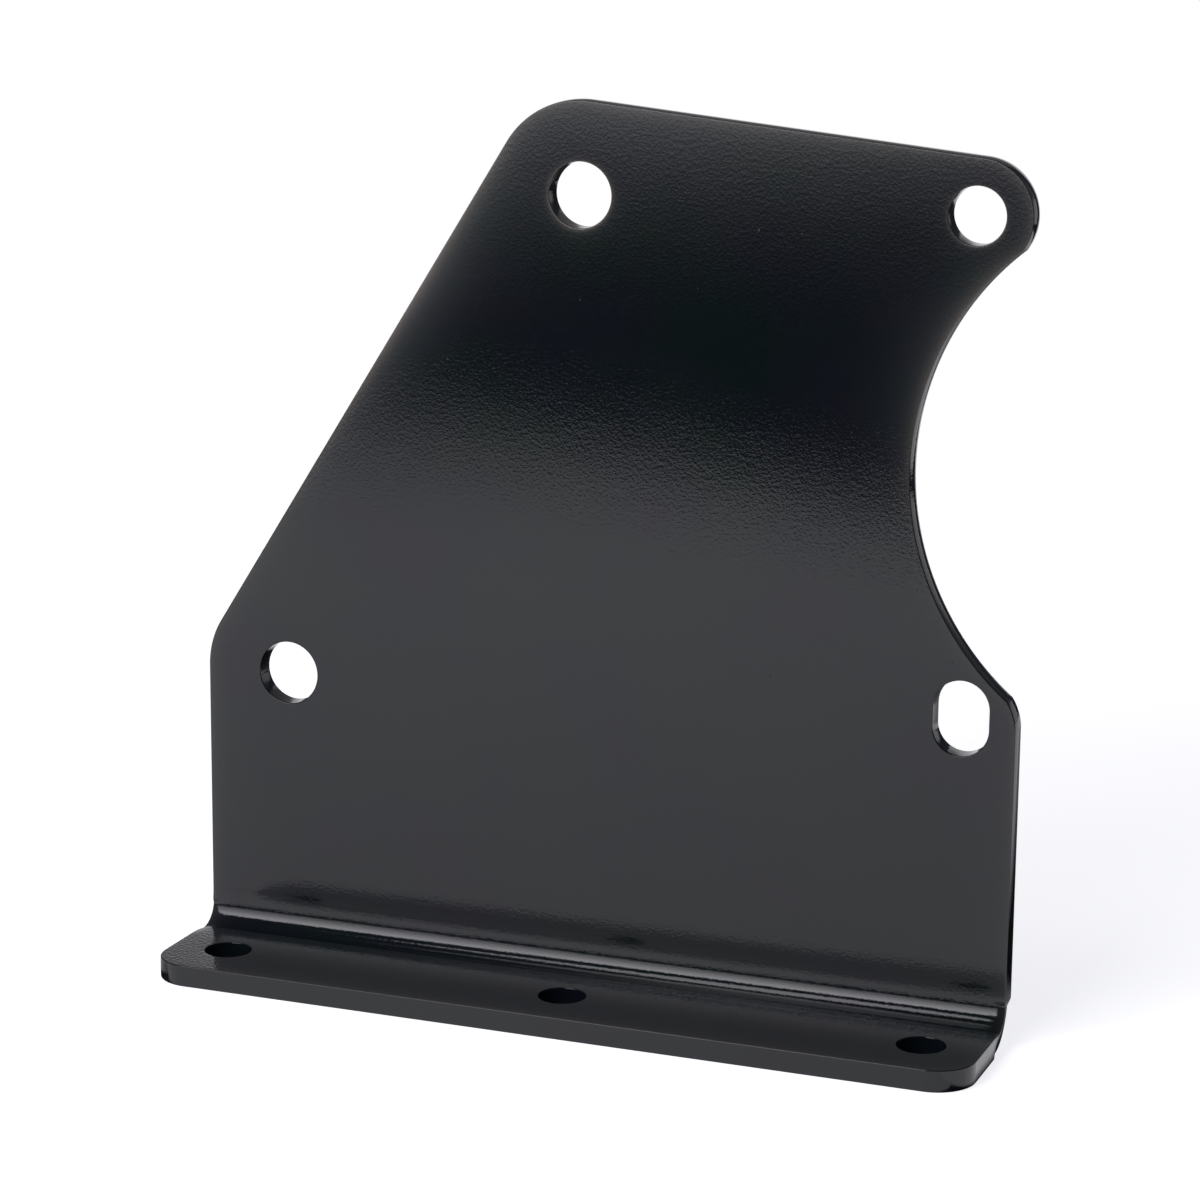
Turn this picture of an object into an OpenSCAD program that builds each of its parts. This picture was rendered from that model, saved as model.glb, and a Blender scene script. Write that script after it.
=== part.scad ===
// Bench bracket for a transmission case: one plate, laser cut and folded once.
// X runs along the fold, Y runs back from the bench flange to the upright, Z is up.
// The origin is on the underside of the flange, on the axis of the middle bench bolt hole.

/* [Plate] */
// Thickness of the plate
plate_t = 4.76; // [3:0.01:8]
// Inside radius of the fold
fold_r = 4.8; // [2:0.1:8]

/* [Bench flange] */
// Reach of the flange in front of the upright's front face
flange_reach = 31.8; // [29:0.1:60]
// Radius of the two front corners of the flange
flange_corner_r = 8.9; // [2:0.1:12]
// Diameter of the bench bolt holes
bench_hole_d = 10.1; // [6:0.1:12]
// Distance from one bench bolt hole to the next
bench_hole_pitch = 79.3; // [40:0.1:82]
// Distance from the line of bench bolt holes to the upright's front face
bench_hole_setback = 18; // [16:0.1:21]

/* [Case holes in the upright] */
// Diameter of the two wide holes, on the left
wide_hole_d = 13.8; // [8:0.1:24]
// Diameter of the narrow hole and width of the slot, on the right
narrow_hole_d = 11.9; // [6:0.1:16]
// Distance between the centres of the slot's two ends
slot_travel = 4; // [1:0.1:6]
// Height of the two upper holes above the bench
upper_height = 173.2; // [165:0.1:210]
// Height of the lower wide hole above the bench
lower_wide_height = 64.3; // [40:0.1:80]
// Height of the slot's lower end centre above the bench
slot_height = 67.7; // [40:0.1:75]
// Distance between the two upper holes, along the bench
upper_span = 85; // [60:0.1:115]
// Distance between the lower wide hole and the slot, along the bench
lower_span = 153.2; // [130:0.1:200]

/* [Outline of the upright] */
// Radius of the corners round the wide holes
wide_lobe_r = 19.7; // [15:0.1:24]
// Radius of the corners round the narrow hole and the slot
narrow_lobe_r = 11.8; // [10:0.1:16]
// Distance from the narrow hole's centre to the edge of the relief for the case
relief_edge = 11.4; // [10:0.1:13]
// Distance from the right-hand hole line out to the centre of the relief
relief_offset = 47.2; // [44:0.1:70]

/* [Hidden] */
round_fn = 96;

// Where the plate lies: the upright's front face, its left edge and the start of its flat
plate_w = wide_lobe_r + lower_span + narrow_lobe_r;
left_x = -plate_w / 2;
right_x = plate_w / 2;
face_y = bench_hole_setback;
flange_front_y = face_y - flange_reach;
fold_axis_y = face_y - fold_r;
fold_axis_z = plate_t + fold_r;

// Hole centres in the upright, as [x, z]
lower_wide = [left_x + wide_lobe_r, lower_wide_height];
slot_low = [right_x - narrow_lobe_r, slot_height];
slot_high = slot_low + [0, slot_travel];
upper_narrow = [slot_low[0], upper_height];
upper_wide = upper_narrow - [upper_span, 0];
relief = [slot_low[0] + relief_offset, (slot_height + upper_height) / 2];
relief_r = norm(relief - upper_narrow) - relief_edge;

// How far a cutter runs past each face
overrun = 1;
// How far the fold laps into each flat
fold_lap = 1;

// Direction from point a to the line that touches circles ra at a and rb at b on their left side
function tangent_side(a, ra, b, rb) =
    let (d = norm(b - a), u = (b - a) / d, s = (ra - rb) / d)
    sqrt(1 - s * s) * [-u[1], u[0]] + s * u;

// The point of a circle r at c that lies nearest to point p
function nearest_point(c, r, p) = c + r * (p - c) / norm(p - c);

// A full circle in the plane that it is drawn in
module disc(centre, r) {
    translate(centre)
        circle(r = r, $fn = round_fn);
}

// Outline of the upright above the fold, in its own plane
module upright_outline() {
    slope = tangent_side(lower_wide, wide_lobe_r, upper_wide, wide_lobe_r);
    top = tangent_side(upper_wide, wide_lobe_r, upper_narrow, narrow_lobe_r);
    difference() {
        union() {
            polygon([
                [left_x, fold_axis_z],
                [left_x, lower_wide[1]],
                lower_wide,
                lower_wide + wide_lobe_r * slope,
                upper_wide + wide_lobe_r * slope,
                upper_wide,
                upper_wide + wide_lobe_r * top,
                upper_narrow + narrow_lobe_r * top,
                upper_narrow,
                nearest_point(upper_narrow, narrow_lobe_r, relief),
                nearest_point(slot_low, narrow_lobe_r, relief),
                slot_low,
                [right_x, slot_low[1]],
                [right_x, fold_axis_z]
            ]);
            disc(lower_wide, wide_lobe_r);
            disc(upper_wide, wide_lobe_r);
            disc(upper_narrow, narrow_lobe_r);
            disc(slot_low, narrow_lobe_r);
        }
        disc(relief, relief_r);
    }
}

// The two wide holes, the narrow hole and the slot, in the plane of the upright
module case_holes() {
    disc(lower_wide, wide_hole_d / 2);
    disc(upper_wide, wide_hole_d / 2);
    disc(upper_narrow, narrow_hole_d / 2);
    disc(slot_low, narrow_hole_d / 2);
    disc(slot_high, narrow_hole_d / 2);
    translate([slot_low[0] - narrow_hole_d / 2, slot_low[1]])
        square([narrow_hole_d, slot_travel]);
}

// The flat upright, its front face towards the bench flange
module upright() {
    translate([0, face_y + plate_t, 0])
        rotate([90, 0, 0])
            linear_extrude(plate_t)
                difference() {
                    upright_outline();
                    case_holes();
                }
}

// Section across the fold, as [y, z]: a quarter turn of plate with a short lap into each flat
module fold_section() {
    axis = [fold_axis_y, fold_axis_z];
    difference() {
        intersection() {
            disc(axis, fold_r + plate_t);
            translate([axis[0], 0])
                square([fold_r + plate_t, axis[1]]);
        }
        disc(axis, fold_r);
    }
    translate([axis[0] - fold_lap, 0])
        square([fold_lap, plate_t]);
    translate([face_y, axis[1]])
        square([plate_t, fold_lap]);
}

// The quarter turn of plate between the flange and the upright
module fold() {
    translate([left_x, 0, 0])
        rotate([90, 0, 90])
            linear_extrude(plate_w)
                fold_section();
}

// Outline of the bench flange as far as the fold, with its two front corners rounded
module flange_outline() {
    r = flange_corner_r;
    translate([left_x, flange_front_y + r])
        square([plate_w, flange_reach - fold_r - r]);
    translate([left_x + r, flange_front_y])
        square([plate_w - 2 * r, r]);
    for (x = [left_x + r, right_x - r])
        disc([x, flange_front_y + r], r);
}

// The flat bench flange with its row of three bolt holes
module flange() {
    difference() {
        linear_extrude(plate_t)
            flange_outline();
        for (side = [-1, 0, 1])
            translate([side * bench_hole_pitch, 0, -overrun])
                cylinder(h = plate_t + 2 * overrun, d = bench_hole_d, $fn = round_fn);
    }
}

// The whole folded plate
module bracket() {
    color([0.07, 0.07, 0.08]) {
        upright();
        fold();
        flange();
    }
}

bracket();
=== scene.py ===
"""Look of the bench bracket: one folded plate in gloss black powder coat, on a white table."""

import math

import bpy
from mathutils import Matrix, Vector
from mathutils.geometry import delaunay_2d_cdt
from mathutils.kdtree import KDTree


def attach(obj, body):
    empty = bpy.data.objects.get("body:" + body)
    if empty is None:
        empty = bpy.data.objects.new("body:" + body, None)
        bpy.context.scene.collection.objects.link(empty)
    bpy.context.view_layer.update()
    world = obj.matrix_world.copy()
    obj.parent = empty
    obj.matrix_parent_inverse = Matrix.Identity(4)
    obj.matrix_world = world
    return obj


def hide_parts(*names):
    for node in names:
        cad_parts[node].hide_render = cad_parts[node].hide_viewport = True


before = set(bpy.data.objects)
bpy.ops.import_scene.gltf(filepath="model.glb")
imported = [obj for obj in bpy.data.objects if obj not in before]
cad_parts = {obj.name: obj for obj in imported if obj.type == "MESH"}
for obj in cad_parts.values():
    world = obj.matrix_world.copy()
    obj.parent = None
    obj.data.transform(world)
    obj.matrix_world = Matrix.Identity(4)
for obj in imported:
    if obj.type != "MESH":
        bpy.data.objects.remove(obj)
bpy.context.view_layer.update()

MM = 0.001

# Plate, in millimetres, as the solids have it
PLATE_T = 4.76
FOLD_R = 4.8
PLATE_W = 184.7
LEFT_X = -PLATE_W / 2
RIGHT_X = PLATE_W / 2
FACE_Y = 18.0
FLANGE_FRONT_Y = -13.8
FLANGE_CORNER_R = 8.9
BENCH_HOLE_R = 5.05
BENCH_HOLE_PITCH = 79.3

# The fold turns tightly from the flange up, then eases out into the upright at a wider radius
TIGHT_TURN = math.radians(80)
EASY_R = 21.0
FOLD_AXIS_Y = FACE_Y - FOLD_R * math.sin(TIGHT_TURN) - EASY_R * (1 - math.sin(TIGHT_TURN))
FOLD_AXIS_Z = PLATE_T + FOLD_R
EASY_AXIS_Z = FOLD_AXIS_Z + (EASY_R - FOLD_R) * math.cos(TIGHT_TURN)

# Holes and outline of the upright, as (x, z)
WIDE_HOLE_R = 6.9
NARROW_HOLE_R = 5.95
WIDE_LOBE_R = 19.7
NARROW_LOBE_R = 11.8
LOWER_WIDE = (-72.65, 64.3)
UPPER_WIDE = (-4.45, 173.2)
UPPER_NARROW = (80.55, 173.2)
SLOT_LOW = (80.55, 67.7)
SLOT_TRAVEL = 4.0
RELIEF = (127.75, 120.45)
RELIEF_R = math.dist(RELIEF, UPPER_NARROW) - 11.4

# The blank is drawn unfolded: s is z on the upright and runs on round the fold to the flange
TIGHT_LENGTH = TIGHT_TURN * (FOLD_R + PLATE_T / 2)
EASY_LENGTH = (math.pi / 2 - TIGHT_TURN) * (EASY_R + PLATE_T / 2)
TIGHT_STEPS = 22
EASY_STEPS = 6
FOLD_END_S = EASY_AXIS_Z
EASY_START_S = FOLD_END_S - EASY_LENGTH
FOLD_START_S = EASY_START_S - TIGHT_LENGTH
FLANGE_FRONT_S = FOLD_START_S - (FOLD_AXIS_Y - FLANGE_FRONT_Y)

# The folded ends: pressing squeezes the inside edge round and pulls the outside edge in
END_SLUMP = 0.5
END_SLUMP_REACH = 0.9
END_PULL = 0.8
END_PULL_REACH = 3.0
END_FADE = 3.5
END_HEAD = 1.2

# Section through a coated edge: a cut wall, slightly bulged, a tight round, and a low crown to the face
EDGE_R = 0.24
UPRIGHT_BULGE = 0.22
FLANGE_BULGE = 0.03
HOLE_BULGE = 0.05
WALL_STEPS = (0.16, 0.3, 0.42)
CROWN_REACH = 7.0
CROWN_SHARE = 0.46
CROWN_LENGTH = 2.0
CROWN_SLOPE = math.radians(0.6)
CROWN_STEPS = (1.0, 0.93, 0.8, 0.66, 0.53, 0.41, 0.3, 0.21, 0.13, 0.06)
ROUND_STEPS = 6

# Spacing of the points along the outlines and over the flat faces
CORNER_STEP = 0.6
RELIEF_STEP = 0.8
SIDE_STEP = 3.0
HOLE_STEP = 0.4
SLOT_SIDE_STEP = 1.0
SEARCH_STEP = 0.6
GRID_STEP = 4.0

# Texture of the coat: scales to the metre, heights in metres, and the radius of a nib in its cell
PEEL_SCALE = 1500.0
PEBBLE_SCALE = 1250.0
PEBBLE_SMOOTHNESS = 0.6
PEEL_PART = 0.6
PEBBLE_PART = 0.6
PEEL_HEIGHT = 0.000012
FLANGE_PEEL = 3.0
FINE_SCALE = 2900.0
FINE_HEIGHT = 0.000009
WAVE_SCALE = 160.0
WAVE_HEIGHT = 0.000008
GRAIN_SCALE = 2600.0
GRAIN_STRETCH = (1.0, 1.0, 0.06)
GRAIN_HEIGHT = 0.000006
NIB_SCALE = 230.0
NIB_SHARE = 0.16
NIB_RADIUS = 0.055
NIB_HEIGHT = 0.00003
DULL_SCALE = 45.0
ROUGHNESS = (0.065, 0.09)

# Colours of the coat, and of the painted glow at the edges and the painted sheen before the fold
TONE_SCALE = 26.0
GREEN_BLACK = (0.0036, 0.0088, 0.0086, 1.0)
BLUE_BLACK = (0.0058, 0.0070, 0.0118, 1.0)
# Painted glow at the edges, standing in for a halo of light: brown at the very edge, grey further in
PAINTED_GLOW_BROWN = (1.0, 0.8, 0.65)
PAINTED_GLOW_GREY = (0.95, 1.0, 1.02)
# Painted sheen, a lighter colour for the strip of flange before the fold, standing in for a reflection
PAINTED_SHEEN = (0.022, 0.024, 0.027)

# Painted sheen on the strip of flange before the fold, a lighter colour standing in for a reflection, in
# millimetres from the fold: where it begins, where it is full, its soft end
SHEEN_REACH = 7.5
SHEEN_FULL = 4.5
SHEEN_END = 0.4

# Painted glow at the edges, a lighter colour standing in for a halo of light, as (amount at the edge, how
# far in it fades, in metres)
OUTER_CLOSE = (0.19, 0.0011)
OUTER_WIDE = (0.070, 0.0056)
HOLE_CLOSE = (0.20, 0.0004)
HOLE_WIDE = (0.016, 0.0022)

# Where that painted glow shows, as (from, to, share at from, share at to): metres up and across the blank,
# and on the walls how squarely they face outwards
GLOW_BELOW = (0.10, 0.150, 0.2, 1.0)
GLOW_ABOVE = (0.155, 0.190, 1.0, 0.40)
GLOW_ACROSS = (-0.01, 0.06, 1.0, 0.55)
GLOW_ON_WALLS = (0.3, 1.0, 1.0, 0.1)
GLOW_AT_HOLES = (0.10, 0.15, 0.0, 1.0)

# Table top, in metres from the origin, and its turn from the plate
TABLE_TURN = math.radians(29)
TABLE_FRONT = 0.403
TABLE_HALF_WIDTH = 0.62
TABLE_BACK = 0.36
TABLE_GAP = 0.00005
TABLE_WHITE = 0.86
TABLE_SEEN_GLOW = 0.8
TABLE_MIRRORED_GLOW = 0.62
TABLE_GLOW_COLOUR = (0.99, 0.99, 1.025, 1.0)

# Painted light and shadow on the table, shown to the gloss only: where it mirrors the table's white, as
# (from, to, share at from, share at to), in metres
TABLE_IN_FRONT = (-0.0140, -0.0134, 1.0, 0.0)
TABLE_LEFT = (-0.125, -0.098, 0.9, 0.4)
TABLE_LEFT_END = (-0.096, -0.094, 1.0, 0.0)
TABLE_BESIDE = (0.0925, 0.094, 0.0, 1.2)
TABLE_BESIDE_END = (0.02, 0.06, 1.0, 0.0)
TABLE_RIGHT = (0.130, 0.165, 0.0, 1.0)
TABLE_BEHIND = (0.13, 0.32, 0.0, 1.0)
TABLE_BEHIND_ACROSS = (0.05, 0.30, 0.15, 1.1)

# Dim surroundings as (z of the direction, level), and their tint
WORLD_STOPS = ((-1.0, 0.03), (0.0, 0.03), (0.35, 0.08), (0.6, 0.05), (0.9, 0.01), (1.0, 0.01))
WORLD_TINT = (0.85, 1.0, 1.2)
PANEL_COLOUR = (1.0, 0.985, 1.04, 1.0)

# Camera, solved from the outline in the photograph
CAMERA_AT = (261.95, -664.4, 255.2)
CAMERA_AZIMUTH = 20.9344
CAMERA_ELEVATION = 12.8546
CAMERA_ROLL = 0.5527
CAMERA_LENS = 105.905
CAMERA_SENSOR = 36


def polar(centre, r, degrees):
    """The point of a circle at an angle from +x."""
    a = math.radians(degrees)
    return (centre[0] + r * math.cos(a), centre[1] + r * math.sin(a))


def heading(a, b):
    """Angle of the direction from a to b, in degrees."""
    return math.degrees(math.atan2(b[1] - a[1], b[0] - a[0]))


def arc(centre, r, start, end, step):
    """Points and outward normals along an arc; it runs clockwise round a hollow when end < start."""
    n = max(2, math.ceil(abs(math.radians(end - start)) * r / step))
    side = 1 if end > start else -1
    found = []
    for i in range(n + 1):
        a = start + (end - start) * i / n
        turn = math.radians(a)
        found.append((polar(centre, r, a), (side * math.cos(turn), side * math.sin(turn))))
    return found


def straight(a, b, step, stops=()):
    """Points and outward normals between a and b, ends left out; stops are heights that get a point."""
    length = math.dist(a, b)
    out = ((b[1] - a[1]) / length, -(b[0] - a[0]) / length)
    n = max(1, math.ceil(length / step))
    parts = {i / n for i in range(1, n)}
    if stops:
        stop_parts = {(s - a[1]) / (b[1] - a[1]) for s in stops}
        parts = {p for p in parts if all(abs(p - q) * length > step / 3 for q in stop_parts)} | stop_parts
    parts = sorted(p for p in parts if 1e-6 < p < 1 - 1e-6)
    return [((a[0] + (b[0] - a[0]) * p, a[1] + (b[1] - a[1]) * p), out) for p in parts]


def fold_stops():
    """Heights s of the lines across the fold."""
    tight = [FOLD_START_S + TIGHT_LENGTH * i / TIGHT_STEPS for i in range(TIGHT_STEPS)]
    easy = [EASY_START_S + EASY_LENGTH * i / EASY_STEPS for i in range(EASY_STEPS + 1)]
    return tight + easy


def meeting_angle(lobe, lobe_r):
    """Half the angle, seen from a lobe's centre, between its two crossings with the relief."""
    d = math.dist(lobe, RELIEF)
    return math.degrees(math.acos((lobe_r**2 + d**2 - RELIEF_R**2) / (2 * lobe_r * d)))


def blank_outline():
    """The outer edge of the blank, anticlockwise, as points with outward normals."""
    low_s = FLANGE_FRONT_S + FLANGE_CORNER_R
    right_corner = (RIGHT_X - FLANGE_CORNER_R, low_s)
    left_corner = (LEFT_X + FLANGE_CORNER_R, low_s)
    slot_end = heading(SLOT_LOW, RELIEF) - meeting_angle(SLOT_LOW, NARROW_LOBE_R)
    narrow_start = heading(UPPER_NARROW, RELIEF) + meeting_angle(UPPER_NARROW, NARROW_LOBE_R)
    relief_start = heading(RELIEF, polar(SLOT_LOW, NARROW_LOBE_R, slot_end)) % 360
    relief_end = heading(RELIEF, polar(UPPER_NARROW, NARROW_LOBE_R, narrow_start)) % 360
    top = 90 + heading(UPPER_WIDE, UPPER_NARROW)
    top -= math.degrees(math.asin((WIDE_LOBE_R - NARROW_LOBE_R) / math.dist(UPPER_WIDE, UPPER_NARROW)))
    slope = 90 + heading(LOWER_WIDE, UPPER_WIDE)
    stops = fold_stops()
    edge = []
    edge += arc(left_corner, FLANGE_CORNER_R, 180, 270, CORNER_STEP)
    edge += straight(edge[-1][0], polar(right_corner, FLANGE_CORNER_R, 270), SIDE_STEP)
    edge += arc(right_corner, FLANGE_CORNER_R, 270, 360, CORNER_STEP)
    edge += straight(edge[-1][0], polar(SLOT_LOW, NARROW_LOBE_R, 0), SIDE_STEP, stops)
    edge += arc(SLOT_LOW, NARROW_LOBE_R, 0, slot_end, CORNER_STEP)
    edge += arc(RELIEF, RELIEF_R, relief_start, relief_end, RELIEF_STEP)
    edge += arc(UPPER_NARROW, NARROW_LOBE_R, narrow_start, top, CORNER_STEP)
    edge += straight(edge[-1][0], polar(UPPER_WIDE, WIDE_LOBE_R, top), SIDE_STEP)
    edge += arc(UPPER_WIDE, WIDE_LOBE_R, top, slope, CORNER_STEP)
    edge += straight(edge[-1][0], polar(LOWER_WIDE, WIDE_LOBE_R, slope), SIDE_STEP)
    edge += arc(LOWER_WIDE, WIDE_LOBE_R, slope, 180, CORNER_STEP)
    edge += straight(edge[-1][0], polar(left_corner, FLANGE_CORNER_R, 180), SIDE_STEP, stops)
    return welded(edge)


def welded(edge):
    """Joins points of an edge that fall on each other and gives them the mean normal."""
    kept = []
    for point, out in edge:
        if kept and math.dist(kept[-1][0], point) < 1e-4:
            mean = Vector(kept[-1][1]) + Vector(out)
            mean.normalize()
            kept[-1] = (kept[-1][0], tuple(mean))
        else:
            kept.append((point, out))
    return kept


def hole_outlines():
    """The edges of the seven holes, clockwise, as points with normals that point into the hole."""
    def full_circle(centre, r):
        return arc(centre, r, 360, 0, HOLE_STEP)[:-1]

    bench_s = FOLD_START_S - FOLD_AXIS_Y
    holes = [full_circle((i * BENCH_HOLE_PITCH, bench_s), BENCH_HOLE_R) for i in (-1, 0, 1)]
    holes.append(full_circle(LOWER_WIDE, WIDE_HOLE_R))
    holes.append(full_circle(UPPER_WIDE, WIDE_HOLE_R))
    holes.append(full_circle(UPPER_NARROW, NARROW_HOLE_R))
    slot_high = (SLOT_LOW[0], SLOT_LOW[1] + SLOT_TRAVEL)
    slot = arc(slot_high, NARROW_HOLE_R, 180, 0, HOLE_STEP)
    slot += straight(slot[-1][0], polar(SLOT_LOW, NARROW_HOLE_R, 0), SLOT_SIDE_STEP)
    slot += arc(SLOT_LOW, NARROW_HOLE_R, 0, -180, HOLE_STEP)
    slot += straight(slot[-1][0], polar(slot_high, NARROW_HOLE_R, 180), SLOT_SIDE_STEP)
    holes.append(welded(slot))
    return holes


def crown_fall(past, room, length):
    """How far the crown has fallen, as a share, once it has run past of its room; it steepens outwards."""
    start = math.exp(-room / length)
    return (math.exp((past - room) / length) - start * (1 + past / length)) if past > 0 else 0.0


def wall_inset(depth, bulge):
    """How far the cut wall lies inside the outline: nothing at mid-thickness, most at the faces."""
    return bulge * (2 * depth / PLATE_T - 1) ** 2


def outer_bulge(s):
    """How far the outer wall bulges at a height s: less on the flange, more on the upright."""
    part = min(max((s - FOLD_START_S) / (FOLD_END_S - FOLD_START_S), 0), 1)
    return FLANGE_BULGE + (UPRIGHT_BULGE - FLANGE_BULGE) * part


def edge_section(reach, bulge):
    """Section of an edge from the front face to the back: (inset, depth, outward part, forward part)."""
    slope = math.atan(4 * bulge / PLATE_T)
    turn = math.pi / 2 - slope
    lip = wall_inset(EDGE_R, bulge) + EDGE_R * math.sin(turn)
    room = reach - lip
    length = min(CROWN_LENGTH, room / 3)
    steepest = CROWN_SLOPE * length
    half = []
    for part in CROWN_STEPS:
        past = room * (CROWN_STEPS[1] - part)
        half.append((lip + room * part, steepest * crown_fall(past, room * CROWN_STEPS[1], length)))
    drop = steepest * crown_fall(room * CROWN_STEPS[1], room * CROWN_STEPS[1], length)
    for i in range(ROUND_STEPS + 1):
        a = turn * i / ROUND_STEPS
        half.append((lip - EDGE_R * math.sin(a), drop + EDGE_R * (1 - math.cos(a))))
    half += [(wall_inset(part * PLATE_T, bulge), part * PLATE_T) for part in WALL_STEPS]
    section = half + [(0.0, PLATE_T / 2)] + [(inset, PLATE_T - depth) for inset, depth in reversed(half)]
    found = []
    for i, (inset, depth) in enumerate(section):
        before = section[max(i - 1, 0)]
        after = section[min(i + 1, len(section) - 1)]
        outward = after[1] - before[1]
        forward = before[0] - after[0]
        size = math.hypot(outward, forward)
        found.append((inset, depth, outward / size, forward / size))
    # The two innermost points on each side lie on the flat faces
    for i in (0, 1, -1, -2):
        found[i] = (*section[i], 0.0, 1.0 if i >= 0 else -1.0)
    return found


def squeezed(u, s, depth):
    """Moves a point of the blank as the press does at the two ends of the fold."""
    rise = min(max((s - FOLD_START_S + END_FADE) / END_FADE, 0), 1)
    fall = min(max((EASY_START_S + END_HEAD - s) / END_HEAD, 0), 1)
    near = rise * rise * (3 - 2 * rise) * fall * fall * (3 - 2 * fall)
    if near == 0:
        return u, depth
    gap = min(u - LEFT_X, RIGHT_X - u)
    side = -1 if u < 0 else 1
    outer = depth / PLATE_T
    slump = END_SLUMP * near * math.exp(-gap / END_SLUMP_REACH) * (1 - outer)
    pull = END_PULL * near * math.exp(-gap / END_PULL_REACH) * outer
    return u - side * pull, depth + slump


def folded(u, s, depth):
    """A point of the blank after folding, in millimetres; depth is measured in from the inner face."""
    u, depth = squeezed(u, s, depth)
    if s >= FOLD_END_S:
        return Vector((u, FACE_Y + depth, s))
    if s <= FOLD_START_S:
        return Vector((u, FOLD_AXIS_Y + s - FOLD_START_S, PLATE_T - depth))
    if s < EASY_START_S:
        a = TIGHT_TURN * (s - FOLD_START_S) / TIGHT_LENGTH
        r = FOLD_R + depth
        return Vector((u, FOLD_AXIS_Y + r * math.sin(a), FOLD_AXIS_Z - r * math.cos(a)))
    a = math.pi / 2 - (math.pi / 2 - TIGHT_TURN) * (FOLD_END_S - s) / EASY_LENGTH
    r = EASY_R + depth
    return Vector((u, FACE_Y - EASY_R + r * math.sin(a), EASY_AXIS_Z - r * math.cos(a)))


def folded_normal(u, s, depth, normal):
    """A direction (across, up the blank, out of the inner face) at a point, after folding."""
    step = 0.001
    at = folded(u, s, depth)
    across = (folded(u - math.copysign(step, u), s, depth) - at) / -math.copysign(step, u)
    up = (folded(u, s + step, depth) - at) / step
    out = (folded(u, s, depth - step) - at) / step
    turned = Matrix((across, up, out)).inverted() @ Vector(normal)
    return turned.normalized()


class Plate:
    """Collects the vertices, normals, places on the blank and faces of the folded plate."""

    def __init__(self, edges):
        self.points = []
        self.normals = []
        self.flat = []
        self.wall = []
        self.gaps = []
        self.faces = []
        self.outer_tree = edge_tree(edges[:1])
        self.hole_tree = edge_tree(edges[1:])

    def add(self, u, s, depth, normal, wall):
        """Adds one vertex by its place on the blank and returns its number."""
        self.points.append(folded(u, s, depth) * MM)
        self.normals.append(folded_normal(u, s, depth, normal))
        self.flat.append((u * MM, s * MM, depth * MM))
        self.wall.append(wall)
        gaps = [tree.find((u, s, 0))[2] * MM for tree in (self.outer_tree, self.hole_tree)]
        self.gaps.append((*gaps, 0.0))
        return len(self.points) - 1

    def add_edge(self, edge, reaches, bulges):
        """Sweeps the edge section round one outline and returns its first and last rings."""
        sections = [edge_section(reach, bulge) for reach, bulge in zip(reaches, bulges)]
        rings = []
        for step in range(len(sections[0])):
            ring = []
            for ((u, s), out), section in zip(edge, sections):
                inset, depth, outward, forward = section[step]
                normal = (out[0] * outward, out[1] * outward, forward)
                at = (u - out[0] * inset, s - out[1] * inset)
                ring.append(self.add(at[0], at[1], depth, normal, max(0.0, outward)))
            rings.append(ring)
        for inner, outer in zip(rings, rings[1:]):
            for i in range(len(inner)):
                j = (i + 1) % len(inner)
                self.faces.append((inner[i], outer[i], outer[j], inner[j]))
        return rings[0], rings[-1]

    def add_grid(self, rings, front):
        """Adds a grid of vertices inside the rings of one face and returns their numbers."""
        loops = [[Vector((self.flat[n][0] / MM, self.flat[n][1] / MM)) for n in ring] for ring in rings]
        near = KDTree(sum(len(loop) for loop in loops))
        for i, corner in enumerate(corner for loop in loops for corner in loop):
            near.insert((*corner, 0), i)
        near.balance()
        columns = math.floor(PLATE_W / GRID_STEP)
        rows = math.floor((UPPER_WIDE[1] + WIDE_LOBE_R - FLANGE_FRONT_S) / GRID_STEP)
        depth, forward = (0.0, 1.0) if front else (PLATE_T, -1.0)
        found = []
        for row in range(rows):
            for column in range(columns):
                across = LEFT_X + GRID_STEP * (column + 0.5 * (row % 2))
                at = Vector((across, FLANGE_FRONT_S + GRID_STEP * row))
                if near.find((*at, 0))[2] < GRID_STEP / 3 or not inside(at, loops[0]):
                    continue
                if any(inside(at, hole) for hole in loops[1:]):
                    continue
                found.append(self.add(at.x, at.y, depth, (0.0, 0.0, forward), 0.0))
        return found

    def add_face(self, rings, front):
        """Fills one face of the blank inside its rings, with lines across the fold."""
        numbers = [n for ring in rings for n in ring] + self.add_grid(rings, front)
        flat = [Vector((self.flat[n][0] / MM, self.flat[n][1] / MM)) for n in numbers]
        lines = []
        at = 0
        for ring in rings:
            lines += [(at + i, at + (i + 1) % len(ring)) for i in range(len(ring))]
            at += len(ring)
        for stop in fold_stops():
            across = [i for i in range(len(rings[0])) if abs(flat[i].y - stop) < 1e-4]
            across.sort(key=lambda i: flat[i].x)
            lines.append((across[0], across[-1]))
        made, _, triangles, origins, _, _ = delaunay_2d_cdt(flat, lines, [], 0, 1e-6)
        source = [numbers[o[0]] if o else None for o in origins]
        loops = [[flat[i] for i in span] for span in spans(rings)]
        depth, forward = (0.0, 1.0) if front else (PLATE_T, -1.0)
        for triangle in triangles:
            centre = sum((made[i] for i in triangle), Vector((0, 0))) / 3
            if not inside(centre, loops[0]) or any(inside(centre, hole) for hole in loops[1:]):
                continue
            for i in triangle:
                if source[i] is None:
                    source[i] = self.add(made[i].x, made[i].y, depth, (0.0, 0.0, forward), 0.0)
            corners = [source[i] for i in triangle]
            self.faces.append(tuple(corners if front else reversed(corners)))


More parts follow.
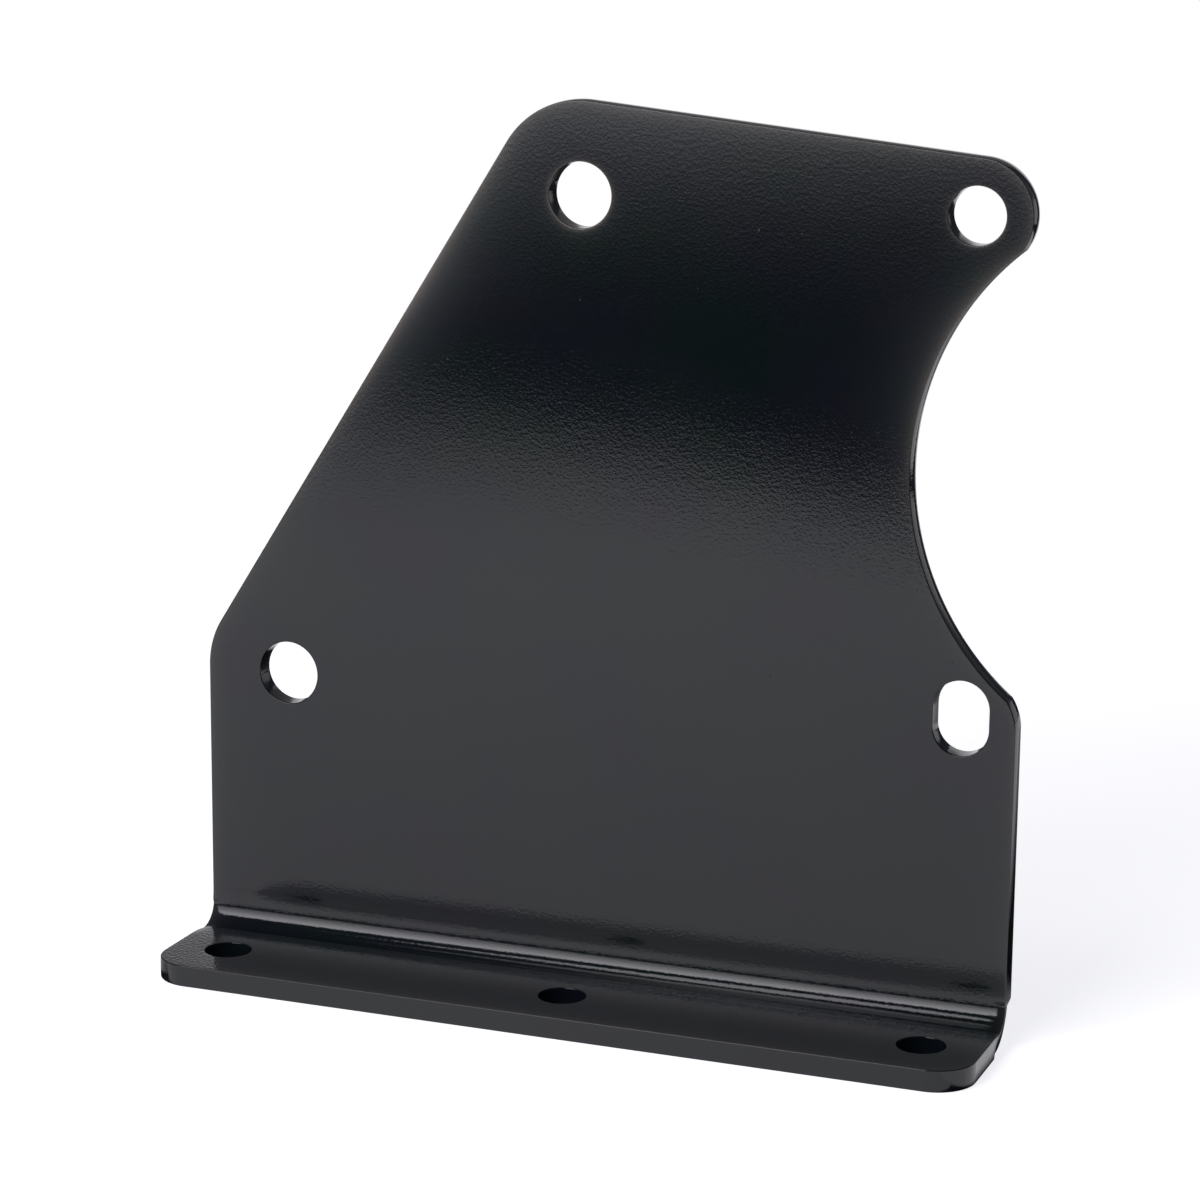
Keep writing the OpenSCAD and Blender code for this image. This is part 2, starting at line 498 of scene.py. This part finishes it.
def edge_tree(edges):
    """A search tree of the points along some edges, with points added on their long stretches."""
    found = []
    for edge in edges:
        for (a, _), (b, _) in zip(edge, edge[1:] + edge[:1]):
            n = math.ceil(math.dist(a, b) / SEARCH_STEP)
            found += [(a[0] + (b[0] - a[0]) * i / n, a[1] + (b[1] - a[1]) * i / n) for i in range(n)]
    tree = KDTree(len(found))
    for i, point in enumerate(found):
        tree.insert((*point, 0), i)
    tree.balance()
    return tree


def spans(rings):
    """Ranges of the joined numbering that belong to each ring."""
    at = 0
    for ring in rings:
        yield range(at, at + len(ring))
        at += len(ring)


def inside(point, loop):
    """Whether a point of the blank lies inside a closed loop of points."""
    hit = False
    x, y = point
    for a, b in zip(loop, loop[1:] + loop[:1]):
        if (a.y > y) != (b.y > y) and x < (b.x - a.x) * (y - a.y) / (b.y - a.y) + a.x:
            hit = not hit
    return hit


def crown_reaches(edges):
    """How far the crown reaches in at each point, less where the next edge is close."""
    tree = KDTree(sum(len(edge) for edge in edges))
    owner = []
    for number, edge in enumerate(edges):
        for point, _ in edge:
            tree.insert((*point, 0), len(owner))
            owner.append(number)
    tree.balance()
    found = []
    for number, edge in enumerate(edges):
        reaches = []
        for point, _ in edge:
            near = tree.find((*point, 0), filter=lambda i: owner[i] != number)
            reaches.append(min(CROWN_REACH, near[2] * CROWN_SHARE))
        found.append(reaches)
    return found


def make_plate():
    """The folded plate with its coated edges, as one closed mesh."""
    edges = [blank_outline(), *hole_outlines()]
    plate = Plate(edges)
    bulges = [[outer_bulge(s) for (_, s), _ in edges[0]]]
    bulges += [[HOLE_BULGE] * len(edge) for edge in edges[1:]]
    rings = [plate.add_edge(*each) for each in zip(edges, crown_reaches(edges), bulges)]
    plate.add_face([first for first, _ in rings], True)
    plate.add_face([last for _, last in rings], False)
    mesh = bpy.data.meshes.new("folded_plate")
    mesh.from_pydata(plate.points, [], plate.faces)
    mesh.validate()
    mesh.shade_smooth()
    mesh.normals_split_custom_set_from_vertices(plate.normals)
    flat_at = mesh.attributes.new("flat_at", "FLOAT_VECTOR", "POINT")
    flat_at.data.foreach_set("vector", [part for at in plate.flat for part in at])
    edge_gap = mesh.attributes.new("edge_gap", "FLOAT_VECTOR", "POINT")
    edge_gap.data.foreach_set("vector", [part for gaps in plate.gaps for part in gaps])
    cut_wall = mesh.attributes.new("cut_wall", "FLOAT", "POINT")
    cut_wall.data.foreach_set("value", plate.wall)
    piece = bpy.data.objects.new("folded_plate", mesh)
    bpy.context.collection.objects.link(piece)
    return piece


class Nodes:
    """Short way to add shader nodes and link them."""

    def __init__(self, tree):
        self.tree = tree
        tree.nodes.clear()

    def add(self, kind, settings=(), **inputs):
        """Adds a node, sets its properties, and sets or links its inputs by name or number."""
        node = self.tree.nodes.new(kind)
        for key, value in dict(settings).items():
            setattr(node, key, value)
        for key, value in inputs.items():
            numbered = key.startswith("in") and key[2:].isdigit()
            socket = node.inputs[int(key[2:]) if numbered else key.replace("_", " ")]
            if isinstance(value, bpy.types.NodeSocket):
                self.tree.links.new(value, socket)
            else:
                socket.default_value = value
        return node

    def attribute(self, name, output):
        """An attribute of the mesh."""
        return self.add("ShaderNodeAttribute", {"attribute_name": name}).outputs[output]

    def parts(self, vector):
        """The X, Y and Z of a vector."""
        return self.add("ShaderNodeSeparateXYZ", in0=vector).outputs

    def math(self, operation, a, b=0.0, c=0.0):
        """A math node's output."""
        node = self.add("ShaderNodeMath", {"operation": operation}, in0=a, in1=b, in2=c)
        return node.outputs[0]

    def product(self, a, b):
        """Two values multiplied."""
        return self.math("MULTIPLY", a, b)

    def raised(self, height, texture, size):
        """A height with a texture of some size laid over it."""
        return self.math("MULTIPLY_ADD", texture, size, height)

    def scaled(self, colour, amount):
        """A colour times a value."""
        node = self.add("ShaderNodeVectorMath", {"operation": "SCALE"}, in0=colour, Scale=amount)
        return node.outputs[0]

    def added(self, a, b):
        """The sum of two colours."""
        node = self.add("ShaderNodeVectorMath", {"operation": "ADD"}, in0=a, in1=b)
        return node.outputs[0]

    def noise(self, at, scale, detail=2.0, roughness=0.5):
        """A noise texture's value at a coordinate."""
        node = self.add("ShaderNodeTexNoise", Vector=at, Scale=scale, Detail=detail, Roughness=roughness)
        return node.outputs[0]

    def spread(self, value, low, high, to_low, to_high):
        """A value mapped from one range to another, held at its ends."""
        node = self.add("ShaderNodeMapRange", in0=value, in1=low, in2=high, in3=to_low, in4=to_high)
        return node.outputs[0]


def peel(nodes, at, up_blank):
    """Orange peel of the coat: pebbles over noise, stronger on the flange."""
    pebbled = {"feature": "SMOOTH_F1", "voronoi_dimensions": "2D"}
    pebbles = nodes.add("ShaderNodeTexVoronoi", pebbled, Vector=at, Scale=PEBBLE_SCALE,
                        Smoothness=PEBBLE_SMOOTHNESS)
    mixed = nodes.math("MULTIPLY_ADD", nodes.noise(at, PEEL_SCALE), PEEL_PART,
                       nodes.product(pebbles.outputs["Distance"], PEBBLE_PART))
    on_flange = nodes.spread(up_blank, (FOLD_START_S - 1) * MM, (FOLD_START_S + 1) * MM, 1.0, 0.0)
    gain = nodes.math("MULTIPLY_ADD", on_flange, FLANGE_PEEL - 1, 1.0)
    return nodes.product(mixed, gain)


def wall_grain(nodes, at, wall):
    """Fine marks across the cut walls, from one face of the plate to the other."""
    drawn_out = nodes.add("ShaderNodeVectorMath", {"operation": "MULTIPLY"}, in0=at, in1=GRAIN_STRETCH)
    return nodes.product(nodes.noise(drawn_out.outputs[0], GRAIN_SCALE), wall)


def nibs(nodes, at):
    """A few specks under the coat: small cones in some of the cells."""
    cells = nodes.add("ShaderNodeTexVoronoi", Vector=at, Scale=NIB_SCALE)
    draw = nodes.add("ShaderNodeSeparateColor", in0=cells.outputs["Color"]).outputs[0]
    picked = nodes.math("LESS_THAN", draw, NIB_SHARE)
    return nodes.product(nodes.spread(cells.outputs["Distance"], 0.0, NIB_RADIUS, 1.0, 0.0), picked)


def coat_height(nodes, at, up_blank, wall):
    """Height of the coat's texture, in metres."""
    height = nodes.product(peel(nodes, at, up_blank), PEEL_HEIGHT)
    height = nodes.raised(height, nodes.noise(at, FINE_SCALE, 1.0), FINE_HEIGHT)
    height = nodes.raised(height, nodes.noise(at, WAVE_SCALE, 1.0, 0.4), WAVE_HEIGHT)
    height = nodes.raised(height, wall_grain(nodes, at, wall), GRAIN_HEIGHT)
    return nodes.raised(height, nibs(nodes, at), NIB_HEIGHT)


def painted_glow_band(nodes, gap, share, band):
    """Painted glow near an edge; band is the amount at the edge and how far in it fades."""
    amount, length = band
    fading = nodes.math("EXPONENT", nodes.math("DIVIDE", gap, -length))
    return nodes.product(fading, nodes.product(share, amount))


def painted_edge_glow(nodes, gaps, place, wall):
    """Painted glow at the edges, a lighter colour standing in for a halo of light: brown at the very edge,
    grey further in.
    """
    share = nodes.product(nodes.spread(place["Y"], *GLOW_BELOW), nodes.spread(place["Y"], *GLOW_ABOVE))
    share = nodes.product(share, nodes.spread(place["X"], *GLOW_ACROSS))
    share = nodes.product(share, nodes.spread(wall, *GLOW_ON_WALLS))
    hole_share = nodes.product(share, nodes.spread(place["Y"], *GLOW_AT_HOLES))
    close = nodes.math("ADD", painted_glow_band(nodes, gaps["X"], share, OUTER_CLOSE),
                       painted_glow_band(nodes, gaps["Y"], hole_share, HOLE_CLOSE))
    wide = nodes.math("ADD", painted_glow_band(nodes, gaps["X"], share, OUTER_WIDE),
                      painted_glow_band(nodes, gaps["Y"], hole_share, HOLE_WIDE))
    return nodes.added(nodes.scaled(PAINTED_GLOW_BROWN, close), nodes.scaled(PAINTED_GLOW_GREY, wide))


def painted_strip_sheen(nodes, up_blank):
    """Painted sheen on the strip of flange before the fold: a lighter colour standing in for a reflection.
    """
    sheen_share = nodes.product(
        nodes.spread(up_blank, (FOLD_START_S - SHEEN_REACH) * MM, (FOLD_START_S - SHEEN_FULL) * MM, 0.0, 1.0),
        nodes.spread(up_blank, (FOLD_START_S - SHEEN_END) * MM, (FOLD_START_S + SHEEN_END) * MM, 1.0, 0.0))
    return nodes.scaled(PAINTED_SHEEN, sheen_share)


def powder_coat():
    """Gloss black powder coat with its texture, with a painted glow at the edges and a painted sheen on the
    strip before the fold.
    """
    material = bpy.data.materials.new("powder_coat")
    material.use_nodes = True
    nodes = Nodes(material.node_tree)
    at = nodes.attribute("flat_at", "Vector")
    wall = nodes.attribute("cut_wall", "Fac")
    gaps = nodes.parts(nodes.attribute("edge_gap", "Vector"))
    place = nodes.parts(at)
    up_blank = place["Y"]

    bump = nodes.add("ShaderNodeBump", Height=coat_height(nodes, at, up_blank, wall), Strength=1.0,
                     Distance=1.0)
    rough = nodes.spread(nodes.noise(at, DULL_SCALE, 3.0, 0.6), 0.3, 0.7, *ROUGHNESS)
    tone = nodes.spread(nodes.noise(at, TONE_SCALE, 3.0), 0.38, 0.62, 0.0, 1.0)
    black = nodes.add("ShaderNodeMix", {"data_type": "RGBA"}, in0=tone, in6=GREEN_BLACK, in7=BLUE_BLACK)
    # Painted glow: a lighter base colour near the edges, standing in for a halo of light
    colour = nodes.added(black.outputs[2], painted_edge_glow(nodes, gaps, place, wall))
    # Painted sheen: a lighter base colour on the strip of flange before the fold, standing in for a
    # reflection
    colour = nodes.added(colour, painted_strip_sheen(nodes, up_blank))
    shader = nodes.add("ShaderNodeBsdfPrincipled", Base_Color=colour, Roughness=rough,
                       Normal=bump.outputs[0], IOR=1.5)
    nodes.add("ShaderNodeOutputMaterial", Surface=shader.outputs[0])
    return material


def ray_kinds(nodes):
    """Whether a ray is the camera's own or has passed through glass, and whether a gloss mirrors it."""
    path = nodes.add("ShaderNodeLightPath")
    seen = nodes.math("MAXIMUM", path.outputs["Is Camera Ray"], path.outputs["Is Transmission Ray"])
    return seen, path.outputs["Is Glossy Ray"]


def painted_table_light(nodes):
    """Painted light and shadow on the table, for the gloss only: how much of its white the gloss mirrors:
    all in front and on the right, most on the left, none under and close behind the plate as painted
    shadow, and more again further back."""
    place = nodes.parts(nodes.add("ShaderNodeTexCoord").outputs["Object"])
    across, back = place["X"], place["Y"]
    in_front = nodes.spread(back, *TABLE_IN_FRONT)
    left = nodes.product(nodes.spread(across, *TABLE_LEFT), nodes.spread(across, *TABLE_LEFT_END))
    beside = nodes.product(nodes.spread(across, *TABLE_BESIDE), nodes.spread(back, *TABLE_BESIDE_END))
    right = nodes.math("MAXIMUM", beside, nodes.spread(across, *TABLE_RIGHT))
    far_behind = nodes.product(nodes.spread(back, *TABLE_BEHIND),
                               nodes.spread(across, *TABLE_BEHIND_ACROSS))
    shaded = nodes.math("MAXIMUM", nodes.math("ADD", left, right), far_behind)
    return nodes.math("MAXIMUM", in_front, shaded)


def table_white():
    """White of the table: seen as white, and mirrored with painted light and shadow round the plate."""
    material = bpy.data.materials.new("table_white")
    material.use_nodes = True
    nodes = Nodes(material.node_tree)
    seen, mirrored = ray_kinds(nodes)
    # Painted light and shadow: for mirrored rays the table's white and glow follow where the plate would
    # shade it
    painted_lit = painted_table_light(nodes)
    glow = nodes.product(mirrored, nodes.product(painted_lit, TABLE_MIRRORED_GLOW))
    glow = nodes.math("MULTIPLY_ADD", seen, TABLE_SEEN_GLOW, glow)
    white = nodes.product(nodes.math("SUBTRACT", 1.0, mirrored), TABLE_WHITE)
    white = nodes.math("ADD", white, nodes.product(nodes.product(mirrored, painted_lit), TABLE_WHITE))
    shader = nodes.add("ShaderNodeBsdfPrincipled", Base_Color=white, Roughness=0.8,
                       Emission_Color=TABLE_GLOW_COLOUR, Emission_Strength=glow)
    nodes.add("ShaderNodeOutputMaterial", Surface=shader.outputs[0])
    return material


def make_table():
    """Table top under the bracket, turned on the spot from the plate's own direction."""
    ahead = Vector((math.sin(TABLE_TURN), -math.cos(TABLE_TURN), 0))
    side = Vector((math.cos(TABLE_TURN), math.sin(TABLE_TURN), 0))
    corners = [ahead * TABLE_FRONT - side * TABLE_HALF_WIDTH, ahead * TABLE_FRONT + side * TABLE_HALF_WIDTH,
               ahead * -TABLE_BACK + side * TABLE_HALF_WIDTH, ahead * -TABLE_BACK - side * TABLE_HALF_WIDTH]
    mesh = bpy.data.meshes.new("table")
    mesh.from_pydata([c - Vector((0, 0, TABLE_GAP)) for c in corners], [], [(0, 1, 2, 3)])
    mesh.materials.append(table_white())
    table = bpy.data.objects.new("table", mesh)
    bpy.context.collection.objects.link(table)


def make_world():
    """Plain surroundings: white to the camera, dim and slightly blue to everything else."""
    world = bpy.data.worlds.new("studio")
    bpy.context.scene.world = world
    world.use_nodes = True
    nodes = Nodes(world.node_tree)
    seen, _ = ray_kinds(nodes)
    height = nodes.parts(nodes.add("ShaderNodeTexCoord").outputs["Generated"])["Z"]
    ramp = nodes.add("ShaderNodeValToRGB", in0=nodes.spread(height, -1.0, 1.0, 0.0, 1.0))
    elements = ramp.color_ramp.elements
    while len(elements) < len(WORLD_STOPS):
        elements.new(0.5)
    for element, (z, level) in zip(elements, WORLD_STOPS):
        element.position = (z + 1) / 2
        element.color = (*[level * part for part in WORLD_TINT], 1.0)
    dim = nodes.add("ShaderNodeBackground", Color=ramp.outputs[0], Strength=1.0)
    white = nodes.add("ShaderNodeBackground", Color=(1.0, 1.0, 1.0, 1.0), Strength=1.0)
    mix = nodes.add("ShaderNodeMixShader", in0=seen, in1=dim.outputs[0], in2=white.outputs[0])
    nodes.add("ShaderNodeOutputWorld", Surface=mix.outputs[0])


def panel_glow(name, levels):
    """Light of a panel's front, stronger or weaker with height; its back is clear."""
    material = bpy.data.materials.new(name)
    material.use_nodes = True
    nodes = Nodes(material.node_tree)
    up = nodes.parts(nodes.add("ShaderNodeTexCoord").outputs["Object"])["Z"]
    strength = 0.0
    for (low, weak), (high, strong) in zip(levels, levels[1:]):
        strength = nodes.math("ADD", nodes.spread(up, low, high, 0.0, strong - weak), strength)
    strength = nodes.math("ADD", strength, levels[0][1])
    front = nodes.math("SUBTRACT", 1.0, nodes.add("ShaderNodeNewGeometry").outputs["Backfacing"])
    glow = nodes.add("ShaderNodeEmission", Color=PANEL_COLOUR, Strength=strength)
    clear = nodes.add("ShaderNodeBsdfTransparent")
    mix = nodes.add("ShaderNodeMixShader", in0=front, in1=clear.outputs[0], in2=glow.outputs[0])
    nodes.add("ShaderNodeOutputMaterial", Surface=mix.outputs[0])
    return material


def soft_panel(name, foot, azimuth, width, height, levels, tilt=0):
    """A soft light: a panel on its foot that faces the bracket; levels are (height, strength) pairs."""
    mesh = bpy.data.meshes.new(name)
    w = width / 2
    mesh.from_pydata([(-w, 0, 0), (w, 0, 0), (w, 0, height), (-w, 0, height)], [], [(0, 3, 2, 1)])
    mesh.materials.append(panel_glow(name, levels))
    panel = bpy.data.objects.new(name, mesh)
    bpy.context.collection.objects.link(panel)
    turn = Matrix.Rotation(math.radians(azimuth), 4, "Z") @ Matrix.Rotation(math.radians(tilt), 4, "X")
    panel.matrix_world = Matrix.Translation(Vector(foot)) @ turn
    panel.visible_camera = False


def make_lights():
    """A large soft light in front on the left, a small one above it, and two dim ones behind."""
    soft_panel("key_light", foot=(-0.247, -0.612, 0.055), azimuth=-22, width=0.62, height=0.685,
               levels=((0.0, 0.02), (0.03, 0.15), (0.06, 0.5), (0.085, 1.4), (0.51, 4.9), (0.68, 4.9)))
    soft_panel("top_light", foot=(-0.34, -0.34, 0.92), azimuth=-45, width=0.34, height=0.30, tilt=-40,
               levels=((0, 3.2), (0.3, 3.2)))
    soft_panel("backdrop_light", foot=(-0.36, 0.94, -0.05), azimuth=159, width=1.1, height=0.9,
               levels=((0.0, 0.9), (0.38, 0.9), (0.47, 0.25), (0.9, 0.15)))
    soft_panel("side_light", foot=(0.83, 0.97, -0.05), azimuth=142, width=0.8, height=1.0,
               levels=((0.0, 0.6), (0.3, 0.6), (0.42, 0.2), (1.0, 0.1)))


def place_camera():
    """The camera at the photograph's viewpoint."""
    azimuth = math.radians(CAMERA_AZIMUTH)
    elevation = math.radians(CAMERA_ELEVATION)
    roll = math.radians(CAMERA_ROLL)
    back = Vector((math.sin(azimuth) * math.cos(elevation), -math.cos(azimuth) * math.cos(elevation),
                   math.sin(elevation)))
    right = Vector((math.cos(azimuth), math.sin(azimuth), 0))
    up = back.cross(right)
    rolled_right = right * math.cos(roll) + up * math.sin(roll)
    rolled_up = up * math.cos(roll) - right * math.sin(roll)
    camera_data = bpy.data.cameras.new("camera")
    camera_data.sensor_width = CAMERA_SENSOR
    camera_data.lens = CAMERA_LENS
    camera_data.clip_start = 0.01
    camera_data.clip_end = 50
    camera = bpy.data.objects.new("camera", camera_data)
    bpy.context.collection.objects.link(camera)
    turn = Matrix((rolled_right, rolled_up, back)).transposed().to_4x4()
    camera.matrix_world = Matrix.Translation(Vector(CAMERA_AT) * MM) @ turn
    bpy.context.scene.camera = camera


def make_bracket():
    """Puts the coated plate in place of the plain solid."""
    piece = make_plate()
    piece.data.materials.append(powder_coat())
    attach(piece, "root")
    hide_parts("bracket")


place_camera()
make_bracket()
make_table()
make_world()
make_lights()
bpy.context.scene.view_settings.view_transform = "Standard"
